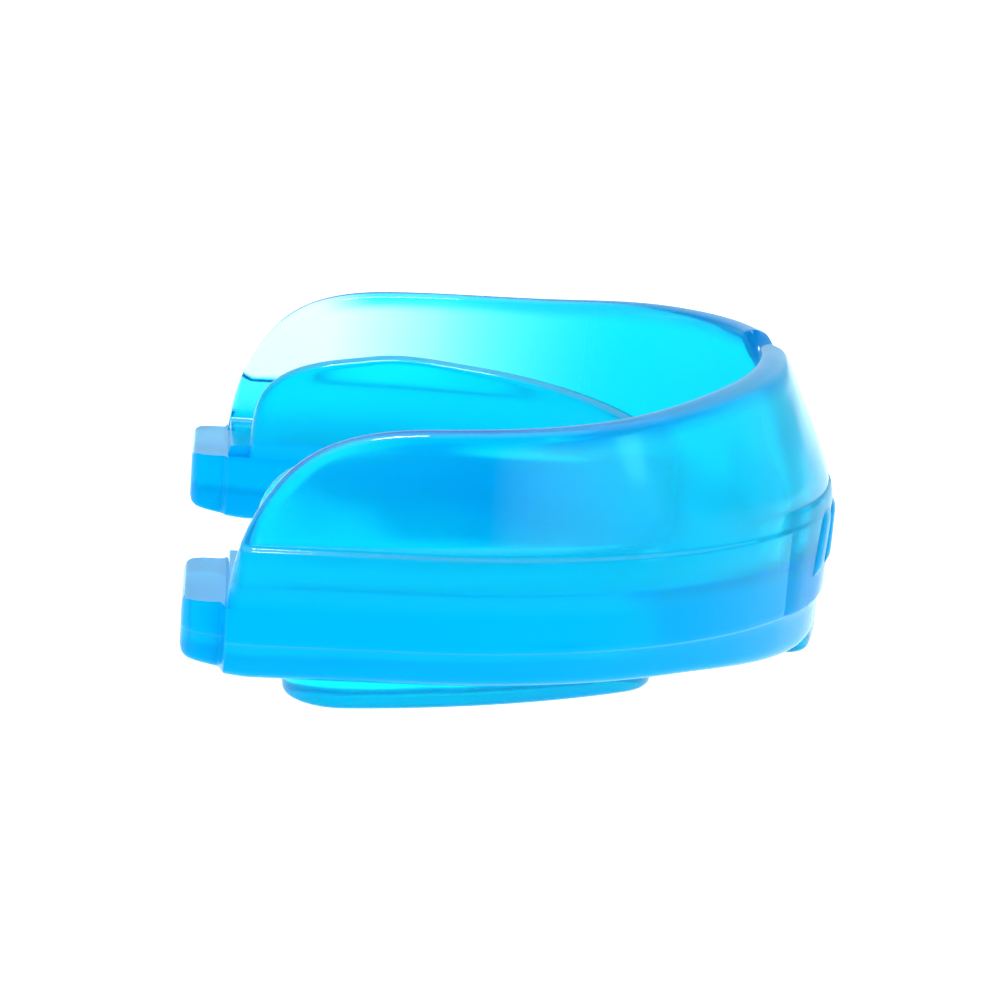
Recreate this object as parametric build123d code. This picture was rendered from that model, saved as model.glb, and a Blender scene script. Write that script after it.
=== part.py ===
from build123d import *
import os

# Boil-and-bite mouthguard for the upper teeth, teeth channel facing up.
# X runs across the mouth, the lips face -Y, +Z is up. The guard rests on its two molar pads.
# Every wall follows the same plan curve: half an ellipse round the front, straight legs behind it.

os.makedirs("parts", exist_ok=True)

# ---------------------------------------------------------------- driving dimensions, mm
LENGTH = 51.2             # lips to the ends of the rear tabs
ARCH_CENTRE_Y = 9.25      # where the straight legs meet the elliptical front
LEG_END_Y = 22.6          # rear end of the walls; only the tabs run past it

# plan curves, each given as (half width, reach in front of ARCH_CENTRE_Y)
SHELL_OUTER = (29.2, 34.5)     # tray, between the lower parting line and the step
SHELL_WAIST = (29.0, 34.3)     # tray just under the lower parting line
SHELL_FOOT = (27.9, 34.1)      # tray at its lowest
SHELL_INNER = (27.6, 33.0)     # bond line between tray and liner
FLANGE_FOOT = (28.8, 34.3)     # flange where it rises from the step
FLANGE_RIM = (28.4, 29.8)      # flange at full height, leaning back over the gums
CHANNEL_FOOT = (26.4, 31.4)    # cheek side of the teeth channel at the step
CHANNEL_RIM = (27.0, 27.2)     # the same face at full height
LINGUAL_TEETH = (17.8, 23.0)   # tongue-side wall, face towards the teeth
TONGUE_FOOT = (15.6, 20.8)     # tongue-side wall, face towards the tongue, at the underside
TONGUE_RIM = (16.3, 21.5)      # the same face at full height

PLATE_BOTTOM = 2.2        # underside of the bite plate above the table
FRONT_BOTTOM = 0.9        # underside right at the front, where it dips
DIP_START_Y = -15.8
PARTING_Z = 5.0           # lower parting line round the outside
PLATE_TOP = 7.6           # bite plate and rear tabs
CHANNEL_FLOOR = 8.4       # liner floor under the teeth
STEP_Z = 11.8             # ledge where the tray stops and the flange goes on
LOFT_TOP = 24.6           # height the leaning flange faces are drawn to
LINGUAL_LOFT_TOP = 18.0

RIM_REAR_Z = 20.6         # flange height beside the molars
RIM_FRONT_Z = 23.4        # flange height at the lips
RIM_FRONT_Y = -21.2       # the rim is level in front of this
NOTCH_RADIUS = 3.2        # frenum notch
NOTCH_CENTRE_Z = 24.2

TAB_INNER_X = 16.1
TAB_OUTER_X = 27.6
TAB_CORNER = 1.6
TAB_TOE_RISE = 0.9        # the undersides sweep up towards the rear
TOE_START_Y = 20.6
EDGE_ROUND = 0.6          # moulded radius of the flange rim and the pads

PAD_WIDTH = 8.6
PAD_DRAFT = 10            # degrees
PAD_LINE = ((23.5, 14.2), (21.8, 5.4), (17.4, -5.4))   # rear, middle, front of one pad (x, y)

BAND_TOP_Z = 13.2
BAND_PROUD = 0.2
BAND_HALF_WIDTH = 18.5

STOP_HALF_WIDTH = 7.0
STOP_WIDTH = 4.4
STOP_Y = -23.2

BADGE_BARS = 6
BADGE_PITCH = 4.2
BADGE_BAR_WIDTH = 1.7
BADGE_HEIGHT = (7.2, 12.0)
BADGE_SLANT = 18          # degrees
BADGE_BASE_PROUD = 0.08
BADGE_BAR_PROUD = 0.25

REACH = 60.0              # larger than the guard in every direction


# ---------------------------------------------------------------- building blocks
def arch_face(curve, z, rear=REACH):
    """Closed plan outline: elliptical front, straight legs back to `rear`."""
    a, b = curve
    front = EllipticalCenterArc((0, ARCH_CENTRE_Y), a, b, start_angle=180, arc_size=180)
    legs = Polyline((a, ARCH_CENTRE_Y), (a, rear), (-a, rear), (-a, ARCH_CENTRE_Y))
    return Plane.XY.offset(z) * make_face([front, legs])


def arch_block(low, z_low, high, z_high, rear=REACH):
    """Solid between two plan outlines at different heights."""
    return loft([arch_face(low, z_low, rear), arch_face(high, z_high, rear)], ruled=True)


def grown(curve, by):
    return (curve[0] + by, curve[1] + by)


def side_block(*edges):
    """Side-view outline (y, z) pushed right through the guard from cheek to cheek."""
    return extrude(Plane.YZ * make_face(list(edges)), REACH, both=True)


def exposed_rim(shape, above):
    """Edges where the swept top faces of a wall meet its two sides."""
    tops = [f for f in shape.faces()
            if abs(f.normal_at().X) < 0.02 and f.normal_at().Z > 0.4
            and f.bounding_box().max.Z > above + 1]
    return [e for e in shape.edges()
            if e.bounding_box().max.Z > above
            and sum(f.distance_to(e @ 0.5) < 1e-3 for f in tops) == 1]


# ---------------------------------------------------------------- shared cutting solids
tongue_gap = arch_block(TONGUE_FOOT, -1, TONGUE_RIM, LINGUAL_LOFT_TOP)

# side view of the cheek walls: swept-up rear corner, then a straight climb to the lips
climb_dir = (RIM_FRONT_Y - ARCH_CENTRE_Y, RIM_FRONT_Z - RIM_REAR_Z)
rear_corner = Spline((LEG_END_Y, PLATE_TOP), (21.0, 13.5), (17.7, 17.9), (ARCH_CENTRE_Y, RIM_REAR_Z),
                     tangents=[(-0.15, 1), climb_dir])
climb = Polyline((ARCH_CENTRE_Y, RIM_REAR_Z), (RIM_FRONT_Y, RIM_FRONT_Z),
                 (-REACH, RIM_FRONT_Z), (-REACH, -1), (LEG_END_Y, -1), (LEG_END_Y, PLATE_TOP))
cheek_profile = side_block(rear_corner, climb)

# side view of the tongue wall: steep heel, crown beside the molars, falling to the front
tongue_crown = Spline((20.7, PLATE_TOP), (19.7, 13.2), (10.7, 16.8), (2.3, 16.6), (-8.7, 15.2),
                      (-14.7, 13.6), tangents=[(-0.1, 1), (-1, -0.2)])
tongue_rest = Polyline((-14.7, 13.6), (-REACH, 13.6), (-REACH, -1), (20.7, -1), (20.7, PLATE_TOP))
tongue_profile = side_block(tongue_crown, tongue_rest)

# ---------------------------------------------------------------- outer shell
tab = extrude(
    Plane.XY.offset(PLATE_BOTTOM)
    * Rectangle(TAB_OUTER_X - TAB_INNER_X, LENGTH / 2 - ARCH_CENTRE_Y,
                align=(Align.MIN, Align.MIN)),
    PLATE_TOP - PLATE_BOTTOM)
tab = Pos(TAB_INNER_X, ARCH_CENTRE_Y, 0) * tab
tab = fillet(tab.edges().filter_by(Axis.Z).group_by(Axis.Y)[-1], TAB_CORNER)
below = side_block(Polyline((REACH, PLATE_BOTTOM + TAB_TOE_RISE), (LENGTH / 2, PLATE_BOTTOM + TAB_TOE_RISE),
                            (TOE_START_Y, PLATE_BOTTOM), (DIP_START_Y, PLATE_BOTTOM),
                            (-LENGTH / 2, FRONT_BOTTOM), (-LENGTH / 2, -1), (REACH, -1),
                            (REACH, PLATE_BOTTOM + TAB_TOE_RISE)))
tabs = tab + mirror(tab, Plane.YZ)

foot = arch_block(SHELL_FOOT, FRONT_BOTTOM, SHELL_WAIST, PARTING_Z, LEG_END_Y)
belt = arch_block(SHELL_OUTER, PARTING_Z, SHELL_OUTER, STEP_Z, LEG_END_Y)
cavity = arch_block(SHELL_INNER, PLATE_TOP, SHELL_INNER, STEP_Z + 1)
outer_shell = ((foot + belt) & cheek_profile) + tabs - cavity - tongue_gap - below
outer_shell = outer_shell.solid()

# ---------------------------------------------------------------- fitting liner
liner_blank = arch_block(SHELL_INNER, PLATE_TOP, SHELL_INNER, STEP_Z, LEG_END_Y) & cheek_profile
lingual = (arch_block(LINGUAL_TEETH, PLATE_TOP, LINGUAL_TEETH, LINGUAL_LOFT_TOP, LEG_END_Y)
           & tongue_profile)
channel = (arch_block(CHANNEL_FOOT, CHANNEL_FLOOR, CHANNEL_FOOT, STEP_Z + 1)
           - arch_block(LINGUAL_TEETH, CHANNEL_FLOOR, LINGUAL_TEETH, STEP_Z + 1))
heel = (arch_block(LINGUAL_TEETH, CHANNEL_FLOOR, LINGUAL_TEETH, STEP_Z + 1) - tongue_profile)
fitting_liner = ((liner_blank - channel - heel) + lingual - tongue_gap).solid()

# ---------------------------------------------------------------- lip flange
notch = Pos(0, -LENGTH / 2, NOTCH_CENTRE_Z) * Rot(90, 0, 0) * Cylinder(NOTCH_RADIUS, LENGTH)
flange_outside = arch_block(FLANGE_FOOT, STEP_Z, FLANGE_RIM, LOFT_TOP)
flange_inside = arch_block(CHANNEL_FOOT, STEP_Z, CHANNEL_RIM, LOFT_TOP)
lip_flange = (flange_outside - flange_inside) & cheek_profile
lip_flange = (lip_flange - notch).solid()
lip_flange = fillet(exposed_rim(lip_flange, STEP_Z + 0.1), EDGE_ROUND).solid()

# ---------------------------------------------------------------- front band and badge
band_curve = grown(SHELL_OUTER, BAND_PROUD)
front_window = Pos(0, -REACH / 2, 0) * Box(2 * BAND_HALF_WIDTH, REACH, 2 * REACH)
shell_and_flange = arch_block(SHELL_OUTER, 0, SHELL_OUTER, STEP_Z) + flange_outside
front_band = (arch_block(band_curve, PARTING_Z, band_curve, BAND_TOP_Z) & front_window)
front_band = (front_band - shell_and_flange).solid()

badge_mid_z = sum(BADGE_HEIGHT) / 2
bar_length = BADGE_HEIGHT[1] - BADGE_HEIGHT[0]
plaque_window = Pos(0, -REACH / 2, badge_mid_z) * Box(BADGE_BARS * BADGE_PITCH, REACH, bar_length + 0.6)
band_core = arch_block(band_curve, 0, band_curve, REACH)
plaque_curve = grown(band_curve, BADGE_BASE_PROUD)
bar_curve = grown(band_curve, BADGE_BAR_PROUD)
front_badge = arch_block(plaque_curve, 0, plaque_curve, REACH) & plaque_window
bar_stock = arch_block(bar_curve, 0, bar_curve, REACH)
for i in range(BADGE_BARS):
    x = (i - (BADGE_BARS - 1) / 2) * BADGE_PITCH
    cutter = (Pos(x, -REACH / 2, badge_mid_z) * Rot(0, BADGE_SLANT, 0)
              * Box(BADGE_BAR_WIDTH, REACH, bar_length))
    front_badge += bar_stock & cutter
front_badge = (front_badge - band_core).solid()


# ---------------------------------------------------------------- molar pads and front stop
def rest_pad(line, width):
    """Low pad under the bite plate: rounded strip along a curve, drafted, flat underneath."""
    outline = SlotArc(ThreePointArc(*line), width)
    pad = extrude(Plane.XY.offset(PLATE_BOTTOM) * outline, -PLATE_BOTTOM, taper=PAD_DRAFT)
    return fillet(pad.edges().group_by(Axis.Z)[0], EDGE_ROUND)


molar_pad_right = rest_pad(PAD_LINE, PAD_WIDTH).solid()
molar_pad_left = mirror(molar_pad_right, Plane.YZ).solid()
front_stop = (rest_pad(((-STOP_HALF_WIDTH, STOP_Y + 1.4), (0, STOP_Y), (STOP_HALF_WIDTH, STOP_Y + 1.4)),
                       STOP_WIDTH) & below).solid()

# ---------------------------------------------------------------- export
parts = {
    "outer_shell": outer_shell,
    "fitting_liner": fitting_liner,
    "lip_flange": lip_flange,
    "front_band": front_band,
    "front_badge": front_badge,
    "molar_pad_left": molar_pad_left,
    "molar_pad_right": molar_pad_right,
    "front_stop": front_stop,
}
for node, shape in parts.items():
    export_step(shape, f"parts/{node}.step")
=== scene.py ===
import math

import bmesh
import bpy
import numpy as np
from mathutils import Matrix, Vector


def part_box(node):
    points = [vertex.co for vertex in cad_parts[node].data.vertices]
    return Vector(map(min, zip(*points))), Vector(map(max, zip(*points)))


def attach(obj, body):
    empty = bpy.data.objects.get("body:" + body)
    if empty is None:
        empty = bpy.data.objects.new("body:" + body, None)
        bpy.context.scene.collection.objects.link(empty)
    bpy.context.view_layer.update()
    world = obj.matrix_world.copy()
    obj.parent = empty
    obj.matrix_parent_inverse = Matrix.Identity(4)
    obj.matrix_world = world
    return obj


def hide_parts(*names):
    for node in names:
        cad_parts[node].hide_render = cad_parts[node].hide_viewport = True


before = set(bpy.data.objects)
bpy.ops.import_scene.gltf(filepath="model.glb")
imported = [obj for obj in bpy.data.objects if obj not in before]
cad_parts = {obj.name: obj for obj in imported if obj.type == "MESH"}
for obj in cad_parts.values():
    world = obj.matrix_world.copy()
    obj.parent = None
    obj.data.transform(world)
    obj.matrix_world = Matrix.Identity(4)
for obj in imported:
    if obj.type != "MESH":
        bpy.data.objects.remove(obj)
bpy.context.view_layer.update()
MM = 0.001


# ------------------------------------------------------------------ sizes, mm, from the CAD frame
def box_mm(node):
    lo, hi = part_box(node)
    return [v / MM for v in lo], [v / MM for v in hi]


shell_lo, shell_hi = box_mm("outer_shell")     # lowest at the front dip
liner_lo, liner_hi = box_mm("fitting_liner")
flange_lo, flange_hi = box_mm("lip_flange")
band_lo, band_hi = box_mm("front_band")
badge_lo, badge_hi = box_mm("front_badge")
stop_lo = box_mm("front_stop")[0]
pad_lo, pad_hi = box_mm("molar_pad_right")

CENTRE_Y = shell_hi[1] - 16.35          # where the straight legs meet the elliptical front
LEG_END = liner_hi[1]                   # rear end of the cheek walls
TAB_END = shell_hi[1]
PLATE_Z = pad_hi[2]                     # underside of the bite plate
DIP = PLATE_Z - shell_lo[2]             # how far the underside dips at the front
PLATE_TOP = liner_lo[2]
FLOOR_Z = PLATE_TOP + 0.8
STEP_Z = flange_lo[2]
RIM_Z = flange_hi[2] + 0.3              # before its edge is rounded off
CROWN_Z = liner_hi[2]
PARTING_Z = band_lo[2]


def curve(node_lo, node_hi, grow=0.0):
    """(half width, reach) of the plan curve that a node's box shows."""
    return np.array([node_hi[0] + grow, CENTRE_Y - node_lo[1] + grow])


BELT = curve(shell_lo, shell_hi)
FOOT = BELT - (1.0, 0.1)
FLANGE = BELT - (0.4, 0.05)
FLANGE_LEAN = np.array([0.08, 1.0])     # share of the lean at the cheeks and at the lips
CHANNEL = FLANGE - (2.4, 3.05)
CHANNEL_LEAN = np.array([-0.12, 0.85])
TEETH = CHANNEL - (8.6, 8.4)
TONGUE = np.array([TEETH[0] - 2.2, TEETH[1] - 2.2])
TONGUE_TOP = TONGUE + 0.7
TAB_OUT = BELT[0] - 1.6
TAB_IN = TONGUE[0] + 0.5
TAB_CORNER = 1.6
TAB_EDGE = 0.6
TOE_Y, TOE_RISE = TAB_END - 5.0, 0.9    # where the underside starts to rise, and by how much
RIM_ROUND, CROWN_ROUND = 0.9, 0.7       # how far down a free edge's rounding reaches
NOTCH_R, NOTCH_Z = 3.2, RIM_Z + 0.8
STEP_HALF = 0.25                        # half heights of the two small ledges, and the lower one's depth
LEDGE_HALF, LEDGE_IN = 0.15, 0.2
LEAN_SLOPE, LEAN_START, LEAN_SOFT = 0.49, 1.7, 1.2
FLOOR_WIDTH = 8.3                       # channel floor, from teeth side to cheek side
FILLET = 0.9                            # blend at its two corners, as a share of 1 mm
UNDER_ROUND, TONGUE_ROUND = 0.9, 0.6    # rounding of the underside's two edges


# ------------------------------------------------------------------ small maths
def smooth(x, lo, hi):
    t = np.clip((np.asarray(x, float) - lo) / (hi - lo), 0, 1)
    return t * t * (3 - 2 * t)


def spline(points, start, end, steps=24):
    """Smooth curve through points, with given end directions."""
    p = [np.array(q, float) for q in points]
    chord = [np.linalg.norm(p[i + 1] - p[i]) for i in range(len(p) - 1)]
    tan = [np.array(start, float) / np.linalg.norm(start)]
    for i in range(1, len(p) - 1):
        d0, d1 = (p[i] - p[i - 1]) / chord[i - 1], (p[i + 1] - p[i]) / chord[i]
        t = d0 * chord[i] + d1 * chord[i - 1]
        tan.append(t / np.linalg.norm(t))
    tan.append(np.array(end, float) / np.linalg.norm(end))
    out = []
    for i, c in enumerate(chord):
        for k in range(steps):
            t = k / steps
            h = (2 * t**3 - 3 * t**2 + 1, t**3 - 2 * t**2 + t, -2 * t**3 + 3 * t**2, t**3 - t**2)
            out.append(h[0] * p[i] + h[1] * c * tan[i] + h[2] * p[i + 1] + h[3] * c * tan[i + 1])
    out.append(p[-1])
    return np.array(out)


# side view (y, z) of the cheek rim and of the tongue-side crown
RIM_SIDE_Z = RIM_Z - 3.05
cheek = spline([(LEG_END, PLATE_TOP), (LEG_END - 1.5, PLATE_TOP + 5.9),
                (LEG_END - 4.7, PLATE_TOP + 10.3), (CENTRE_Y, RIM_SIDE_Z)], (-0.15, 1), (-30.5, 1.6))
# and of the rim in front of the legs, by distance forward of them
RIM_RAMP = spline([(0, RIM_SIDE_Z), (14, RIM_SIDE_Z + 0.8), (24, RIM_SIDE_Z + 2.3), (31, RIM_Z)],
                  (30.5, 1.6), (1, 0))
crown = spline([(LEG_END - 1.8, PLATE_TOP), (LEG_END - 2.8, PLATE_TOP + 5.6),
                (CENTRE_Y + 1.4, CROWN_Z - 0.2), (CENTRE_Y - 7, CROWN_Z - 0.4),
                (CENTRE_Y - 18, CROWN_Z - 1.8), (CENTRE_Y - 24, CROWN_Z - 3.4)], (-0.1, 1), (-1, -0.2))


def rim_height(y):
    ramp = np.interp(CENTRE_Y - y, RIM_RAMP[:, 0], RIM_RAMP[:, 1])
    rear = np.interp(y, cheek[::-1, 0], cheek[::-1, 1], right=PLATE_TOP)
    return np.where(y > CENTRE_Y, rear, ramp)


def crown_height(y):
    return np.interp(y, crown[::-1, 0], crown[::-1, 1], right=PLATE_TOP)


# ------------------------------------------------------------------ stations along the arch
# a station is (side, y, None) on a leg and (0, None, angle) on the elliptical front
leg_y = [TAB_END - TAB_EDGE * (1 - math.cos(t)) for t in np.linspace(0, math.pi / 2, 6)]
leg_y += [TAB_END - TAB_CORNER * (1 - math.cos(t)) for t in np.linspace(0.9, math.pi / 2, 5)]
leg_y += list(np.linspace(TAB_END - 1.9, LEG_END + 0.45, 4))
leg_y += list(np.linspace(LEG_END + 0.35, LEG_END - 0.35, 13))
leg_y += list(cheek[2::2, 0]) + list(crown[1:30:2, 0])
leg_y += list(np.arange(CENTRE_Y + 0.3, LEG_END - 4, 0.7))
leg_y = sorted(set(round(float(v), 3) for v in leg_y), reverse=True)
leg_y = [v for i, v in enumerate(leg_y) if i == 0 or leg_y[i - 1] - v > 0.035]
leg_y = [v for v in leg_y if v > CENTRE_Y + 0.05]
half = list(np.linspace(0, math.pi / 2, 56, endpoint=False))
mid_a = FLANGE[0] - 1.2
half += [math.acos(x / mid_a) for x in np.linspace(4.6, 0.0, 22)]
half = sorted(set(round(v, 5) for v in half))
half = [v for i, v in enumerate(half) if i == 0 or v - half[i - 1] > 0.006]
half[-1] = math.pi / 2
theta = half + [math.pi - v for v in reversed(half[:-1])]
stations = [(1, y, None) for y in leg_y]
stations += [(0, None, t) for t in theta]
stations += [(-1, y, None) for y in reversed(leg_y)]


def plan(ab, station):
    side, y, t = station
    if side:
        return side * ab[0], y
    return ab[0] * math.cos(t), CENTRE_Y - ab[1] * math.sin(t)


def station_y(ab, station):
    return plan(ab, station)[1]


def lerp(p, q, t):
    return p + (q - p) * t


def lean(z):
    """How far back the lip flange leans at height z: upright at the step, then a steady slope."""
    h = max(z, STEP_Z) - STEP_Z
    return LEAN_SLOPE * (h + math.hypot(h - LEAN_START, LEAN_SOFT) - math.hypot(LEAN_START, LEAN_SOFT)) / 2


def flange_out(z):
    return FLANGE - FLANGE_LEAN * lean(z)


def outer_curve(z):
    """Outside of the guard at height z: foot, belt, step, leaning flange."""
    if z >= STEP_Z + STEP_HALF:
        return flange_out(z)
    if z >= STEP_Z - STEP_HALF:
        s = float(smooth(z, STEP_Z - STEP_HALF, STEP_Z + STEP_HALF))
        return lerp(BELT, flange_out(STEP_Z + STEP_HALF), s)
    if z >= PARTING_Z + LEDGE_HALF:
        return BELT
    if z >= PARTING_Z - LEDGE_HALF:
        return BELT - LEDGE_IN * float(smooth(PARTING_Z + LEDGE_HALF - z, 0, 0.3))
    return lerp(FOOT, BELT - LEDGE_IN, (z - PLATE_Z) / (PARTING_Z - LEDGE_HALF - PLATE_Z))


def channel_curve(z):
    return CHANNEL - CHANNEL_LEAN * lean(z)


def tongue_curve(z):
    return lerp(TONGUE, TONGUE_TOP, (z - PLATE_Z) / (CROWN_Z + 1 - PLATE_Z))


def edge_line(curve_at, height):
    """(distance along the arch, height) of a wall's free edge, station by station."""
    line, s, last = [], 0.0, None
    for st in stations:
        z = PLATE_TOP + 8
        for _ in range(4):
            z = float(height(np.float64(station_y(curve_at(z), st))))
        x, y = plan(curve_at(z), st)
        if curve_at is flange_mid and abs(x) < NOTCH_R and y < 0:
            z = min(z, NOTCH_Z - math.sqrt(NOTCH_R**2 - x * x))
        if last is not None:
            s += math.dist(last, (x, y))
        last = (x, y)
        line.append((s, z))
    return np.array(line)


def flange_mid(z):
    return (outer_curve(z) + channel_curve(z)) / 2


def lingual_mid(z):
    return (TEETH + tongue_curve(z)) / 2


rim_line = edge_line(flange_mid, rim_height)
crown_line = edge_line(lingual_mid, crown_height)


def fullness(line, s, z, r):
    """0 at a wall's free edge, 1 deeper than r: half a wall's thickness as a share of its full one."""
    p, q = line[:-1], line[1:]
    d = q - p
    t = np.clip(((s - p[:, 0]) * d[:, 0] + (z - p[:, 1]) * d[:, 1]) / np.maximum((d**2).sum(1), 1e-9), 0, 1)
    near = np.sqrt(((p + d * t[:, None] - (s, z)) ** 2).sum(1)).min()
    return math.sqrt(max(0.0, 1 - (1 - min(near / r, 1)) ** 2))


TOP_STEPS = (0, 0.03, 0.1, 0.2, 0.36, 0.6, 1.0)


def rise(low, high, r, n):
    """Heights from high down to low: fine near the free edge, then n even ones."""
    span = max(high - low, 0)
    tip = min(r, span * 0.5)
    zs = [high - tip * t for t in TOP_STEPS]
    return zs + list(np.linspace(high - tip, low, n + 1)[1:])


def fillet_arc(n=5):
    """Quarter circle from (0, 1) to (1, 0) bulging to the corner: an inside corner's blend."""
    return [(1 - math.cos(t), 1 - math.sin(t)) for t in np.linspace(0, math.pi / 2, n)]


OUT_LEVELS = [STEP_Z + v for v in (STEP_HALF, 0.15, 0.07, 0, -0.07, -0.15, -STEP_HALF)]
OUT_LEVELS += [STEP_Z - 1.2, FLOOR_Z + 0.6, FLOOR_Z, PLATE_TOP]
LOW_LEVELS = [PLATE_TOP - 0.9, PARTING_Z + 0.6, PARTING_Z + 0.15, PARTING_Z + 0.07, PARTING_Z,
              PARTING_Z - 0.07, PARTING_Z - 0.15, PARTING_Z - 0.8, PLATE_Z + 1.3]


def flange_clear(y):
    """The flange gets clearer from the lips to the molars."""
    return np.clip((y + 13.0) / 27.0, 0, 1) ** 2.2


def body_section(i):
    """Closed loop of points round the guard at one station."""
    st = stations[i]
    rs, zr = rim_line[i]
    cs, zc = crown_line[i]
    y = st[1] if st[0] else -99.0
    on_tab = float(smooth(y, LEG_END - 0.2, LEG_END + 0.3))
    floor = FLOOR_Z - (FLOOR_Z - PLATE_TOP) * float(smooth(y, LEG_END - 0.3, LEG_END - 0.05))
    toe = TOE_RISE * max(0.0, (y - TOE_Y) / (TAB_END - TOE_Y)) ** 1.5
    corner = TAB_CORNER - math.sqrt(TAB_CORNER**2 - max(0.0, min(TAB_CORNER, y - TAB_END + TAB_CORNER)) ** 2)
    dip = 0.0
    if not st[0]:
        dip = DIP * float(smooth(-station_y(FOOT, st), 10.0, -shell_lo[1] + 1.0))
    edge = TAB_EDGE - math.sqrt(TAB_EDGE**2 - max(0.0, min(TAB_EDGE, y - TAB_END + TAB_EDGE)) ** 2)

    def place(ab, z, flange=False):
        """A plan curve and height, with the tab's narrower width, rounded end and raised toe,
        then how clear and how deep in colour the gel is there, and how much painted shade it gets near the
        flange's rim."""
        clear = rim = 0.0
        deep = 1 - float(smooth(z, PLATE_TOP + 0.3, FLOOR_Z + 0.4))
        if flange:
            along = station_y(ab, st)
            # painted shade mask: full within 0.8 mm of the rim, gone by 1.6 mm below it and towards the
            # molars
            rim = (1 - float(smooth(zr - z, 0.8, 1.6))) * (1 - float(smooth(along, 10, 16)))
            clear = float(smooth(z, STEP_Z - 3.0, STEP_Z + 1.0) * flange_clear(along))
        a, b = float(ab[0]), float(ab[1])
        if on_tab > 0:
            share = (a - TONGUE[0]) / (BELT[0] - TONGUE[0])
            a = lerp(a, TAB_IN + share * (TAB_OUT - TAB_IN), on_tab)
            a += corner * (1 - 2 * share)
        if z < PLATE_TOP:
            z = z + toe * (PLATE_TOP - z) / (PLATE_TOP - PLATE_Z)
        below = PARTING_Z - LEDGE_IN
        if z < below:
            z = z - dip * (below - z) / (below - PLATE_Z)
        mid = (PLATE_TOP + PLATE_Z + toe) / 2
        if edge:
            z = mid + (z - mid) * (1 - edge / (PLATE_TOP - mid))
        x, yy = plan((a, b), st)
        return x, yy, z, clear, deep, rim

    pts = []
    under_out = lerp(FOOT, TONGUE, 0.07)
    under_in = lerp(FOOT, TONGUE, 0.95)
    for q in np.linspace(0, 1, 7):                          # underside, outside to tongue
        pts.append(place(lerp(under_out, under_in, q), PLATE_Z))
    for u, v in fillet_arc(5)[1:]:                          # round up to the tongue side
        pts.append(place(lerp(under_in, tongue_curve(PLATE_Z + TONGUE_ROUND), math.sin(u * math.pi / 2)),
                         PLATE_Z + TONGUE_ROUND * (1 - math.cos(u * math.pi / 2))))
    for z in (PARTING_Z - 1.2, PARTING_Z, PLATE_TOP - 0.8, PLATE_TOP):
        pts.append(place(tongue_curve(z), z))
    heights = rise(PLATE_TOP, zc, CROWN_ROUND, 7)
    for z in reversed(heights[:-1]):                        # tongue side, up to the crown
        mid = lingual_mid(z)
        pts.append(place(lerp(mid, tongue_curve(z), fullness(crown_line, cs, z, CROWN_ROUND)), z))
    blend = min(1.0, max(0.0, zc - floor)) * FILLET
    for z in rise(floor + blend, max(zc, floor + blend), CROWN_ROUND, 6)[1:]:       # teeth side, down
        mid = lingual_mid(z)
        pts.append(place(lerp(mid, TEETH, fullness(crown_line, cs, min(z, zc), CROWN_ROUND)), z))
    for u, v in fillet_arc()[1:]:
        pts.append(place(lerp(TEETH, CHANNEL, u * blend / FLOOR_WIDTH), floor + v * blend))
    blend_o = min(1.0, max(0.0, zr - floor)) * FILLET
    for q in np.linspace(blend / FLOOR_WIDTH, 1 - blend_o / FLOOR_WIDTH, 9)[1:-1]:  # channel floor
        pts.append(place(lerp(TEETH, CHANNEL, q), floor))
    for u, v in reversed(fillet_arc()):
        pts.append(place(lerp(CHANNEL, TEETH, u * blend_o / FLOOR_WIDTH), floor + v * blend_o))
    low = floor + blend_o
    for z in reversed(rise(low, max(zr, low), RIM_ROUND, 12)[1:-1]):                # channel side, up
        full = fullness(rim_line, rs, min(z, zr), RIM_ROUND)
        pts.append(place(lerp(flange_mid(z), channel_curve(z), full), z, True))
    top = max(STEP_Z + STEP_HALF, PLATE_TOP)
    for z in rise(min(top, zr), zr, RIM_ROUND, 11)[:-1]:    # flange outside, down
        full = fullness(rim_line, rs, z, RIM_ROUND)
        pts.append(place(lerp(flange_mid(z), outer_curve(z), full), z, True))
    for z in OUT_LEVELS:                                    # step and belt
        z = min(z, zr)
        full = fullness(rim_line, rs, z, RIM_ROUND) if z > PLATE_TOP + 0.01 else 1.0
        pts.append(place(lerp(flange_mid(z), outer_curve(z), full), z))
    for z in LOW_LEVELS:
        pts.append(place(outer_curve(z), z))
    for t in np.linspace(0, math.pi / 2, 5)[:-1]:           # round under to the underside
        ab = lerp(under_out, outer_curve(PLATE_Z + UNDER_ROUND), math.cos(t))
        pts.append(place(ab, PLATE_Z + UNDER_ROUND * (1 - math.sin(t))))
    return pts


# ------------------------------------------------------------------ mesh building
def mesh_object(name, bm, material, angle=40):
    bmesh.ops.remove_doubles(bm, verts=bm.verts, dist=2e-6)
    bmesh.ops.dissolve_degenerate(bm, edges=bm.edges, dist=1e-6)
    bmesh.ops.recalc_face_normals(bm, faces=bm.faces)
    me = bpy.data.meshes.new(name)
    bm.to_mesh(me)
    bm.free()
    me.shade_smooth()
    me.set_sharp_from_angle(angle=math.radians(angle))
    ob = bpy.data.objects.new(name, me)
    bpy.context.scene.collection.objects.link(ob)
    me.materials.append(material)
    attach(ob, "root")
    return ob


def loft(bm, rings, caps=True):
    """Skin closed rings one after another and close both ends; a point may carry its tones too, the rim's
    painted shade among them.
    """
    layers = [bm.verts.layers.float.new(n) for n in ("clear", "deep", "rim")[:len(rings[0][0]) - 3]]
    rows = []
    for ring in rings:
        rows.append([bm.verts.new([c * MM for c in p[:3]]) for p in ring])
        for vert, p in zip(rows[-1], ring):
            for layer, value in zip(layers, p[3:]):
                vert[layer] = value
    n = len(rows[0])
    for p, q in zip(rows, rows[1:]):
        for k in range(n):
            bm.faces.new((p[k], p[(k + 1) % n], q[(k + 1) % n], q[k]))
    if caps:
        bm.faces.new(list(reversed(rows[0])))
        bm.faces.new(rows[-1])
    return rows


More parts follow.
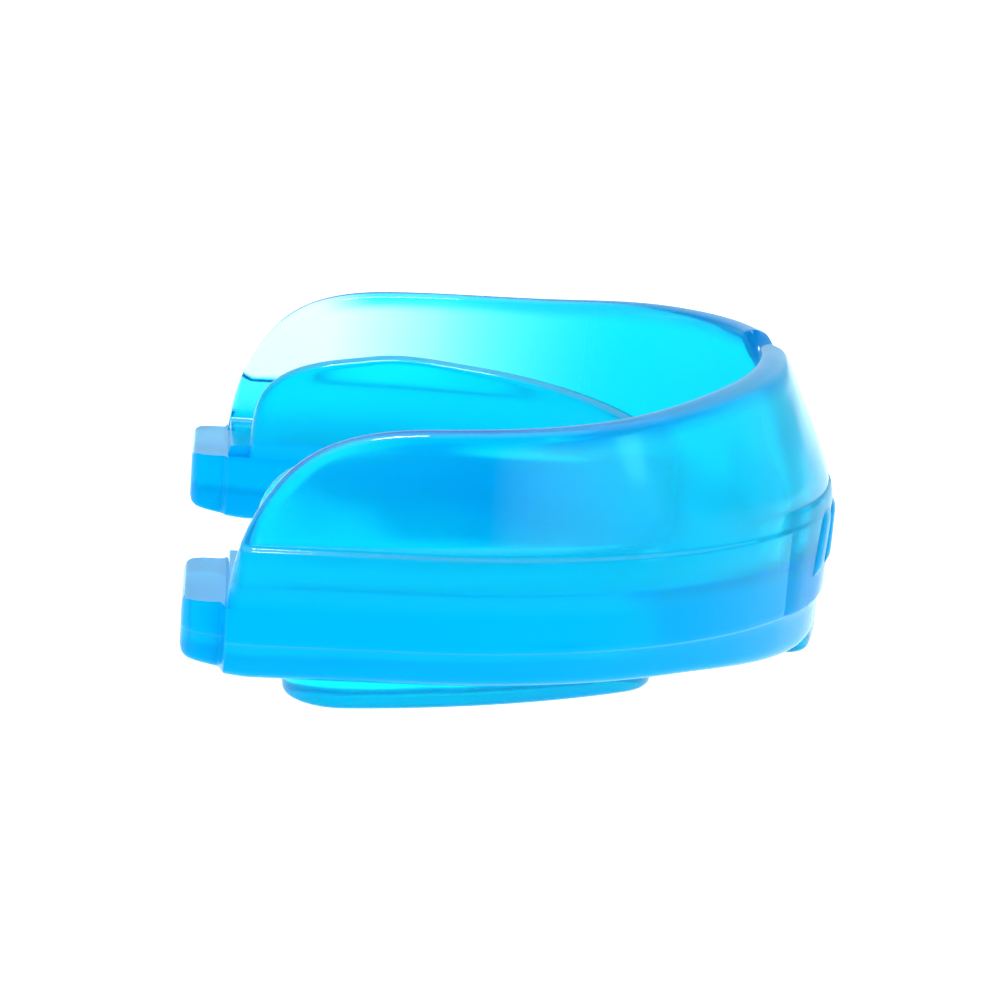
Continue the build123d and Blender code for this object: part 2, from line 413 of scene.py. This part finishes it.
# ------------------------------------------------------------------ materials
def gel(name, tint=(0.02, 0.93, 1.0), absorb=(150, 52, 1), rough=0.14, clear=0.72, ior=1.38):
    """Cloudy blue gel. tint is what one wall lets through, absorb what a metre of it swallows."""
    mat = bpy.data.materials.new(name)
    mat.use_nodes = True
    nt = mat.node_tree
    bsdf = nt.nodes["Principled BSDF"]
    bsdf.inputs["Base Color"].default_value = (*tint, 1)
    bsdf.inputs["Roughness"].default_value = rough
    bsdf.inputs["IOR"].default_value = ior
    bsdf.inputs["Transmission Weight"].default_value = clear
    bsdf.inputs["Specular Tint"].default_value = (0.0, 0.5, 1.0, 1)
    bsdf.inputs["Specular IOR Level"].default_value = 0.18
    bsdf.inputs["Coat Roughness"].default_value = 0.06
    bsdf.inputs["Coat IOR"].default_value = 2.2
    face = nt.nodes.new("ShaderNodeNewGeometry")
    split = nt.nodes.new("ShaderNodeSeparateXYZ")
    gloss = nt.nodes.new("ShaderNodeMapRange")
    gloss.inputs["From Min"].default_value = 0.5
    gloss.inputs["From Max"].default_value = 0.8
    nt.links.new(face.outputs["Normal"], split.inputs[0])
    nt.links.new(split.outputs["Z"], gloss.inputs["Value"])
    nt.links.new(gloss.outputs["Result"], bsdf.inputs["Coat Weight"])
    coord = nt.nodes.new("ShaderNodeTexCoord")
    noise = nt.nodes.new("ShaderNodeTexNoise")
    noise.inputs["Scale"].default_value = 110
    noise.inputs["Detail"].default_value = 1
    bump = nt.nodes.new("ShaderNodeBump")
    bump.inputs["Strength"].default_value = 0.35
    bump.inputs["Distance"].default_value = 0.001
    nt.links.new(coord.outputs["Object"], noise.inputs["Vector"])
    nt.links.new(noise.outputs["Fac"], bump.inputs["Height"])
    nt.links.new(bump.outputs["Normal"], bsdf.inputs["Normal"])
    vol = nt.nodes.new("ShaderNodeVolumeAbsorption")
    density = max(absorb) * 1.02
    vol.inputs["Color"].default_value = (*(1 - k / density for k in absorb), 1)
    vol.inputs["Density"].default_value = density
    nt.links.new(vol.outputs["Volume"], nt.nodes["Material Output"].inputs["Volume"])
    return mat


def blend_by(mat, attribute, colour, under):
    """Mix a colour over the one in `under` where the mesh attribute says so."""
    nt = mat.node_tree
    weight = nt.nodes.new("ShaderNodeAttribute")
    weight.attribute_name = attribute
    mix = nt.nodes.new("ShaderNodeMix")
    mix.data_type = "RGBA"
    mix.inputs["B"].default_value = (*colour, 1)
    nt.links.new(weight.outputs["Fac"], mix.inputs["Factor"])
    if isinstance(under, tuple):
        mix.inputs["A"].default_value = (*under, 1)
    else:
        nt.links.new(under, mix.inputs["A"])
    return mix.outputs["Result"]


BODY_TONE, CLEAR_TONE = (0.01, 0.93, 1.0), (0.82, 1.0, 1.0)
# The rim tone here is painted shade: darker blue along the front rim, standing in for the dark that
# refraction in its rounded edge gives.
DEEP_TONE, RIM_SHADE = (0.0, 0.64, 1.0), (0.02, 0.7, 1.0)
body_gel = gel("body_gel")
tone = blend_by(body_gel, "clear", CLEAR_TONE, BODY_TONE)
tone = blend_by(body_gel, "deep", DEEP_TONE, tone)
# painted shade along the flange's front rim
tone = blend_by(body_gel, "rim", RIM_SHADE, tone)
nt = body_gel.node_tree
bsdf = nt.nodes["Principled BSDF"]
nt.links.new(tone, bsdf.inputs["Base Color"])
clarity = nt.nodes.new("ShaderNodeAttribute")           # transmission: 0.72, up to 1 where it is clear
clarity.attribute_name = "clear"
ramp = nt.nodes.new("ShaderNodeMapRange")
ramp.inputs["From Max"].default_value = 0.4
ramp.inputs["To Min"].default_value = 0.72
ramp.inputs["To Max"].default_value = 1.0
nt.links.new(clarity.outputs["Fac"], ramp.inputs["Value"])
clouded = nt.nodes.new("ShaderNodeMath")                # and 0.22 less in the bite plate
clouded.operation = "MULTIPLY_ADD"
clouded.inputs[1].default_value = -0.22
depth = nt.nodes.new("ShaderNodeAttribute")
depth.attribute_name = "deep"
nt.links.new(depth.outputs["Fac"], clouded.inputs[0])
nt.links.new(ramp.outputs["Result"], clouded.inputs[2])
nt.links.new(clouded.outputs["Value"], bsdf.inputs["Transmission Weight"])
pad_gel = gel("pad_gel", (0.02, 1.0, 1.0), (150, 30, 1), clear=0.85)
band_gel = gel("band_gel", (0.5, 1.0, 1.0), (20, 8, 1), clear=1.0, ior=1.12)
badge_gel = gel("badge_gel", (0.02, 0.6, 1.0), (900, 120, 10), 0.25, 0.5)

# ------------------------------------------------------------------ guard body
bm = bmesh.new()
loft(bm, [body_section(i) for i in range(len(stations))])
body = mesh_object("guard_body", bm, body_gel)
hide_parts("outer_shell", "fitting_liner", "lip_flange")


# ------------------------------------------------------------------ pads
def unwrap(angle, near):
    """The same angle, within half a turn of another one."""
    while angle - near > math.pi:
        angle -= 2 * math.pi
    while near - angle > math.pi:
        angle += 2 * math.pi
    return angle


def slot_outline(p0, p1, p2, width, inset, n=26):
    """Rounded strip of that width along the arc through three points, shrunk by inset."""
    (ax, ay), (bx, by), (cx, cy) = p0, p1, p2
    d = 2 * (ax * (by - cy) + bx * (cy - ay) + cx * (ay - by))
    ux = ((ax**2 + ay**2) * (by - cy) + (bx**2 + by**2) * (cy - ay) + (cx**2 + cy**2) * (ay - by)) / d
    uy = ((ax**2 + ay**2) * (cx - bx) + (bx**2 + by**2) * (ax - cx) + (cx**2 + cy**2) * (bx - ax)) / d
    r = math.dist((ux, uy), p0)
    a0, a1, a2 = (math.atan2(p[1] - uy, p[0] - ux) for p in (p0, p1, p2))
    a1 = unwrap(a1, a0)
    a2 = unwrap(a2, a1)
    h = width / 2 - inset
    sweep = math.copysign(1, a2 - a0)
    out = [(ux + (r + h) * math.cos(a), uy + (r + h) * math.sin(a)) for a in np.linspace(a0, a2, n)]
    out += [(p2[0] + h * math.cos(a2 + sweep * t), p2[1] + h * math.sin(a2 + sweep * t))
            for t in np.linspace(0, math.pi, 15)[1:-1]]
    out += [(ux + (r - h) * math.cos(a), uy + (r - h) * math.sin(a)) for a in np.linspace(a2, a0, n)]
    out += [(p0[0] - h * math.cos(a0 + sweep * t), p0[1] - h * math.sin(a0 + sweep * t))
            for t in np.linspace(0, math.pi, 15)[1:-1]]
    return out


def pad_object(name, line, width, node, material, top=PLATE_Z, sink=0.25):
    """Flat pad from the floor up to `top`, sunk into the body, with drafted sides and a round foot."""
    draft, r = math.tan(math.radians(10)), 0.6
    levels = [(top + sink, 0.0), (top, 0.0)]
    levels += [(r + (top - r) * v, (top - r) * (1 - v) * draft) for v in (0.7, 0.3)]
    levels += [(r * (1 - math.sin(t)), (top - r) * draft + r * (1 - math.cos(t)))
               for t in np.linspace(0, math.pi / 2, 6)]
    bm = bmesh.new()
    loft(bm, [[(x, y, z) for x, y in slot_outline(*line, width, inset)] for z, inset in levels])
    ob = mesh_object(name, bm, material)
    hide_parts(node)
    return ob


PAD_W, STOP_W = 8.6, 4.4
PAD_X = (23.5, 21.8, 17.4)              # the pad's middle line, rear to front
pad_y = (pad_hi[1] - PAD_W / 2, CENTRE_Y - 3.85, pad_lo[1] + PAD_W / 2)
pad_line = list(zip(PAD_X, pad_y))
mirror_line = [(-x, y) for x, y in pad_line]
on_right = pad_lo[0] > 0
pad_object("pad_right", pad_line if on_right else mirror_line, PAD_W, "molar_pad_right", pad_gel)
pad_object("pad_left", mirror_line if on_right else pad_line, PAD_W, "molar_pad_left", pad_gel)
stop_y = stop_lo[1] + STOP_W / 2
KNOB_HALF, KNOB_BOW = 7.0, 1.4
stop_line = [(-KNOB_HALF, stop_y + KNOB_BOW), (0.0, stop_y), (KNOB_HALF, stop_y + KNOB_BOW)]
pad_object("front_knob", stop_line, STOP_W, "front_stop", pad_gel, shell_lo[2], 0.6)

# ------------------------------------------------------------------ front band
BAND_HALF = band_hi[0]
BAND_TOP = band_hi[2]
BAND_PROUD = 0.2


def band_surface(x, z, out):
    """Point on the belt's front pushed out by `out`, at that x."""
    a, b = (BELT if z < STEP_Z + 0.5 else BELT - 0.1) + out
    return x, CENTRE_Y - b * math.sqrt(max(0.0, 1 - (x / a) ** 2)), z


# (height, how proud) up the band's cross-section
band_z = [(PARTING_Z + 0.02, -0.3), (PARTING_Z + 0.02, 0.05)]
band_z += [(PARTING_Z + 0.1, 0.18), (PARTING_Z + 0.3, BAND_PROUD)]
band_z += [(z, BAND_PROUD) for z in np.linspace(PARTING_Z + 1.2, BAND_TOP - 1.0, 6)]
band_z += [(BAND_TOP - 0.4, BAND_PROUD - 0.02), (BAND_TOP - 0.15, BAND_PROUD - 0.1)]
band_z += [(BAND_TOP, 0.02), (BAND_TOP, -0.9)]
bm = bmesh.new()
rings = []
for x in np.linspace(-BAND_HALF, BAND_HALF, 71):
    keep = float(smooth(BAND_HALF - abs(x), 0, 4.0))        # fades out at both ends
    rings.append([band_surface(x, z, -0.3 + (o + 0.3) * keep if o > 0 else o) for z, o in band_z])
loft(bm, rings)
band = mesh_object("lip_band", bm, band_gel)
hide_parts("front_band")

# ------------------------------------------------------------------ generic raised bars on the band
BARS, PITCH, BAR_W, SLANT = 6, 4.2, 1.7, math.radians(18)
bar_mid = (badge_lo[2] + badge_hi[2]) / 2
bar_h = badge_hi[2] - badge_lo[2] - 0.6
# (across, how proud) over one bar's cross-section
BAR_SECTION = ((-0.5, -0.25), (-0.5, 0.08), (-0.42, 0.2), (-0.25, 0.28), (0, 0.3),
               (0.25, 0.28), (0.42, 0.2), (0.5, 0.08), (0.5, -0.25))
bm = bmesh.new()
for i in range(BARS):
    x0 = (i - (BARS - 1) / 2) * PITCH
    rings = []
    for v in np.linspace(-0.5, 0.5, 11):
        z = bar_mid + v * bar_h
        end = math.sqrt(max(0.0, 1 - (abs(v) * 2) ** 6))
        centre = x0 + v * bar_h * math.tan(SLANT)
        row = []
        for u, o in BAR_SECTION:
            row.append(band_surface(centre + u * BAR_W, z, BAND_PROUD + (o * end if o > 0 else o)))
        rings.append(row)
    loft(bm, rings)
bars = mesh_object("lip_bars", bm, badge_gel)
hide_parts("front_badge")

# ------------------------------------------------------------------ studio
scene = bpy.context.scene
bm = bmesh.new()
bmesh.ops.create_grid(bm, x_segments=8, y_segments=8, size=2.0)
me = bpy.data.meshes.new("floor")
bm.to_mesh(me)
bm.free()
floor = bpy.data.objects.new("floor", me)
floor.location.z = -0.0001
scene.collection.objects.link(floor)
white = bpy.data.materials.new("floor_white")
white.use_nodes = True
paint = white.node_tree.nodes["Principled BSDF"]
paint.inputs["Base Color"].default_value = (0.6, 0.6, 0.6, 1)
paint.inputs["Roughness"].default_value = 0.9
paint.inputs["Specular IOR Level"].default_value = 0.0
paint.inputs["Emission Color"].default_value = (1, 1, 1, 1)
paint.inputs["Emission Strength"].default_value = 1.1
me.materials.append(white)

world = bpy.data.worlds.new("studio")
scene.world = world
world.use_nodes = True
BACK_SKY, NEAR_SKY = 0.9, 0.7           # bright sweep behind the guard, dimmer room on the camera's side
nt = world.node_tree
coord = nt.nodes.new("ShaderNodeTexCoord")
facing = nt.nodes.new("ShaderNodeVectorMath")
facing.operation = "DOT_PRODUCT"
facing.inputs[1].default_value = (1.0, 0.0, 0.25)
level = nt.nodes.new("ShaderNodeMapRange")
level.inputs["From Min"].default_value = -0.75
level.inputs["From Max"].default_value = 0.1
level.inputs["To Min"].default_value = NEAR_SKY
level.inputs["To Max"].default_value = BACK_SKY
nt.links.new(coord.outputs["Generated"], facing.inputs[0])
nt.links.new(facing.outputs["Value"], level.inputs["Value"])
nt.links.new(level.outputs["Result"], nt.nodes["Background"].inputs["Strength"])
nt.nodes["Background"].inputs["Color"].default_value = (0.5, 0.82, 1, 1)


def area_light(name, pos, aim, size, power):
    """Soft panel at pos that faces aim, in metres and watts."""
    data = bpy.data.lights.new(name, "AREA")
    data.shape = "RECTANGLE"
    data.size, data.size_y = size
    data.energy = power
    ob = bpy.data.objects.new(name, data)
    ob.location = pos
    ob.rotation_euler = (Vector(aim) - Vector(pos)).to_track_quat("-Z", "Y").to_euler()
    scene.collection.objects.link(ob)


area_light("top_soft", (-0.12, 0.05, 0.40), (0, 0, 0.01), (0.10, 0.03), 0.2)
area_light("side_soft", (-0.35, -0.25, 0.22), (0, 0, 0.01), (0.03, 0.12), 0.2)
area_light("front_soft", (-0.23, -0.35, 0.06), (-0.02, 0, 0.015), (0.05, 0.10), 0.25)

# ------------------------------------------------------------------ camera, fitted to the photo's outline
AZ, EL, ROLL, DIST = math.radians(263.43), math.radians(13.9), math.radians(4.5), 0.2132
target = Vector((0, 0.00085, 0.009))
back = Vector((math.sin(AZ) * math.cos(EL), -math.cos(AZ) * math.cos(EL), math.sin(EL)))
right = (-back).cross(Vector((0, 0, 1))).normalized()
up = right.cross(-back)
turned = right * math.cos(ROLL) + up * math.sin(ROLL)
raised = up * math.cos(ROLL) - right * math.sin(ROLL)
cam_data = bpy.data.cameras.new("camera")
cam_data.lens = 95.9
cam_data.clip_start = 0.01
cam = bpy.data.objects.new("camera", cam_data)
turn = Matrix((turned, raised, back)).transposed().to_4x4()
cam.matrix_world = Matrix.Translation(target + back * DIST) @ turn
scene.collection.objects.link(cam)
scene.camera = cam

scene.view_settings.view_transform = "Standard"
scene.view_settings.look = "None"
scene.cycles.max_bounces = 24
scene.cycles.transmission_bounces = 24
scene.cycles.glossy_bounces = 12
scene.cycles.transparent_max_bounces = 16
